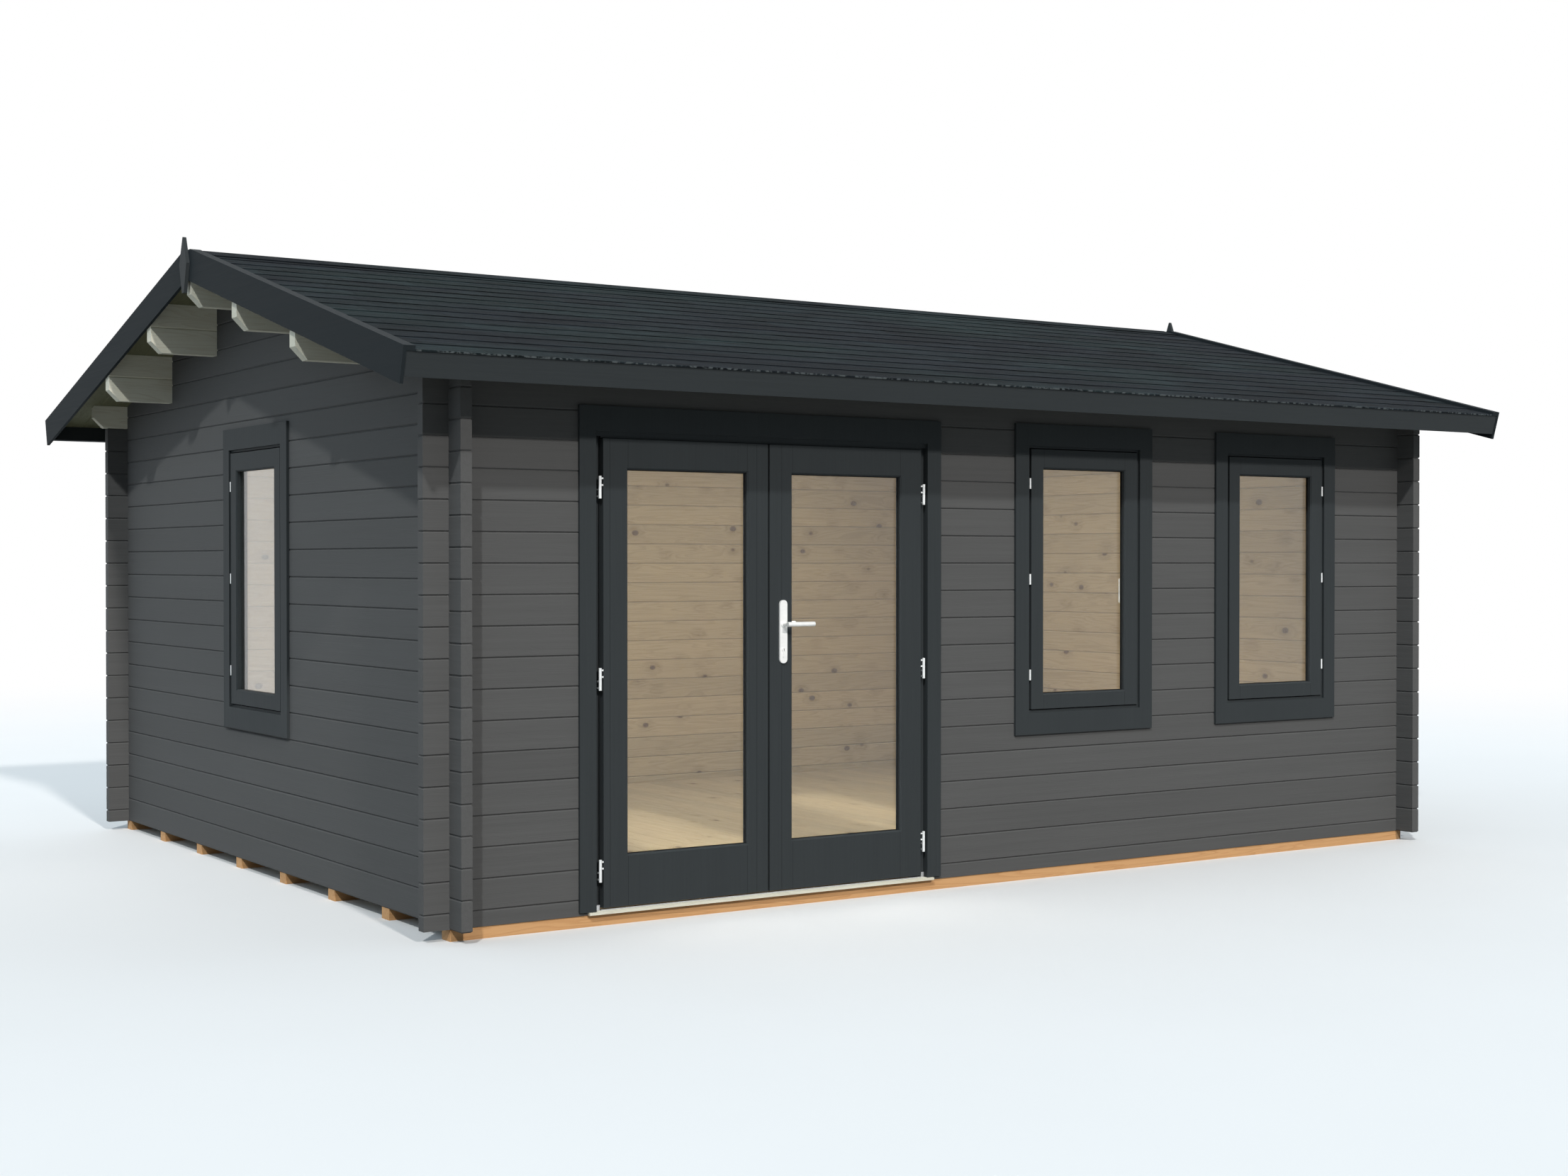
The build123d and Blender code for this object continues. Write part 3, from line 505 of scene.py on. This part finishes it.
gasket("left_door_gasket", "left_door", LEFT_GLASS, DOOR_GLASS_LEVELS, DOOR_PANE_RECESS)
gasket("right_door_gasket", "right_door", RIGHT_GLASS, DOOR_GLASS_LEVELS, DOOR_PANE_RECESS)
for number, middle in enumerate(WINDOW_CENTRES, 1):
    gasket(f"window_{number}_gasket", "cabin", (middle - WINDOW_GLASS_HALF, middle + WINDOW_GLASS_HALF),
           WINDOW_GLASS_LEVELS, WINDOW_PANE_RECESS)

# A collar round each lever's neck, and the keyways in the lock cylinder as thin dark bars of painted shade
COLLAR = ((0.0, 0.0125), (0.002, 0.0125), (0.0035, 0.0115), (0.004, 0.0095))
KEYWAY_LEVELS = (HANDLE_Z - 0.106, HANDLE_Z - 0.0965)
KEYWAY_OUT = 0.0032           # from the plate's face to the middle of the keyway's own thickness
for name, plate_face, forward in (("outside", LEAF_FACE - PLATE, 1),
                                  ("inside", LEAF_FACE + LEAF + PLATE, -1)):
    make_piece(name + "_lever_collar", "right_door", satin,
               [disc_stack((HANDLE_X, plate_face, HANDLE_Z),
                           [(forward * step, radius) for step, radius in COLLAR])])
    low, high = [(HANDLE_X, plate_face - forward * KEYWAY_OUT, level) for level in KEYWAY_LEVELS]
    make_piece(name + "_keyway", "right_door", keyway_in_painted_shade,
               [bar(low, high, ALONG_Y, ALONG_X, 0.0006, 0.0022, edge=0.0002)])

# End blocks on the threshold rail
BLOCK_Y = -1.9405
BLOCK_TOP = 0.0785
BLOCK_OUT = DOOR_HALF + 0.010
make_piece("rail_ends", "cabin", aluminium,
           [bar((x, BLOCK_Y, RAIL_TOP), (x, BLOCK_Y, BLOCK_TOP), ALONG_X, ALONG_Y, 0.016, 0.013, edge=0.001)
            for x in (DOOR_CENTRE - BLOCK_OUT, DOOR_CENTRE + BLOCK_OUT)])


# Camera
camera = new_object("camera", bpy.data.cameras.new("camera"))
camera.location = (-5.7404, -8.8756, 1.35775)
camera.rotation_euler = (math.radians(89.324), 0.0, math.radians(-33.769))
camera.data.lens = 48.40
camera.data.sensor_width = 36.0
camera.data.clip_end = 300.0
bpy.context.scene.camera = camera


# Light
def sun(name, direction, strength, colour, angle):
    lamp = bpy.data.lights.new(name, "SUN")
    lamp.energy = strength
    lamp.color = colour
    lamp.angle = math.radians(angle)
    new_object(name, lamp).rotation_euler = Vector(direction).to_track_quat("-Z", "Y").to_euler()


def room_lamp(name, place, size, power, colour):
    """A soft lamp under the roof, which can't itself be seen."""
    lamp = bpy.data.lights.new(name, "AREA")
    lamp.shape = "RECTANGLE"
    lamp.size, lamp.size_y = size
    lamp.energy = power
    lamp.color = colour
    made = new_object(name, lamp)
    made.location = place
    made.visible_camera = False
    made.visible_glossy = False
    made.visible_transmission = False


def world_light():
    """A cool sky, dim towards the front, and plain white where the camera, gloss or glass sees it."""
    world = bpy.data.worlds.new("world")
    bpy.context.scene.world = world
    world.use_nodes = True
    m = Nodes(world.node_tree)
    x, y, z = m.axes(m.add("TexCoord").outputs["Generated"])
    front = m.span(y, -0.85, 0.05, 0.11, 1.0)
    overhead = m.sum("MULTIPLY", m.sum("MULTIPLY", z, z), 0.45)
    sky = m.sum("MULTIPLY", front, m.sum("SUBTRACT", 1.0, overhead))
    ambient = m.fill(m.add("Background"), (0.72, 0.88, 1.0, 1.0), m.sum("MULTIPLY", sky, 0.95))
    white = m.fill(m.add("Background"), (1.0, 1.0, 1.0, 1.0), 1.0)
    m.put(m.add("OutputWorld").inputs["Surface"], m.blend(m.seen(), ambient, white))


sun("front_sun", (0.12, 1.0, -0.6), 1.7, (1.0, 0.96, 0.92), 3.0)
sun("side_sun", (0.477, 0.554, -0.681), 1.65, (0.95, 0.97, 0.96), 2.0)
room_lamp("room_lamp", (0.0, 0.2, 2.1), (4.0, 2.4), 35.0, (1.0, 0.95, 0.88))
world_light()


# Floor of the studio
def studio_floor(reach=60.0):
    """A pale floor that turns white far out. It throws less light on the object than it shows."""
    m = Finish("studio_floor")
    x, y, z = m.axes(m.place)
    far = m.sum("SQRT", m.sum("ADD", m.sum("MULTIPLY", x, x), m.sum("MULTIPLY", y, y)))
    mottle = m.noise(m.place, 0.7, 3.0)
    pale = m.shade((0.86, 0.86, 0.86, 1.0), m.sum("MULTIPLY_ADD", mottle, 0.04, 0.98))
    seen = m.seen()
    matt = m.surface(Base_Color=m.mix(seen, (0.26, 0.26, 0.25, 1.0), pale), Roughness=0.8,
                     Specular_IOR_Level=0.1)
    glow = m.fill(m.add("Emission"), (1.0, 1.0, 1.0, 1.0), 1.0)
    faded = m.sum("MULTIPLY", m.span(far, 5.0, 16.0), seen)
    mesh = bpy.data.meshes.new("floor")
    mesh.from_pydata([(-reach, -reach, 0), (reach, -reach, 0), (reach, reach, 0), (-reach, reach, 0)], [],
                     [(0, 1, 2, 3)])
    mesh.materials.append(m.done(m.blend(faded, matt, glow)))
    new_object("floor", mesh)


studio_floor()

bpy.context.scene.view_settings.view_transform = "Standard"
